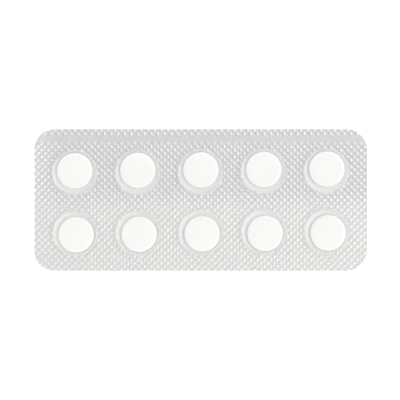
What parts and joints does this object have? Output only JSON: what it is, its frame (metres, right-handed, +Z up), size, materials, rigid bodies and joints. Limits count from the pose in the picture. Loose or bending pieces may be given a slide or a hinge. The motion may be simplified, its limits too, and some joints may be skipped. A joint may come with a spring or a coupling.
{
  "type": "tablet blister pack",
  "caption": "Flat strip pack of round white tablets under clear formed cups, sealed to aluminium foil with a knurled seal.",
  "frame": {"origin": "centre of the foil's underside, which is the face that the pack rests on", "axes": "+X along the pack, +Y towards the long edge with the plain band, +Z up through the cups"},
  "size_m": [0.094, 0.04, 0.0042],
  "materials": {
    "clear_film": "gloss",
    "foil": "satin",
    "tablet": "matte"
  },
  "bodies": {
    "root": {"blister_film": "clear_film", "lidding_foil": "foil", "tablet_top_1": "tablet", "tablet_top_2": "tablet", "tablet_top_3": "tablet", "tablet_top_4": "tablet", "tablet_top_5": "tablet", "tablet_bottom_1": "tablet", "tablet_bottom_2": "tablet", "tablet_bottom_3": "tablet", "tablet_bottom_4": "tablet", "tablet_bottom_5": "tablet"}
  },
  "joints": []
}
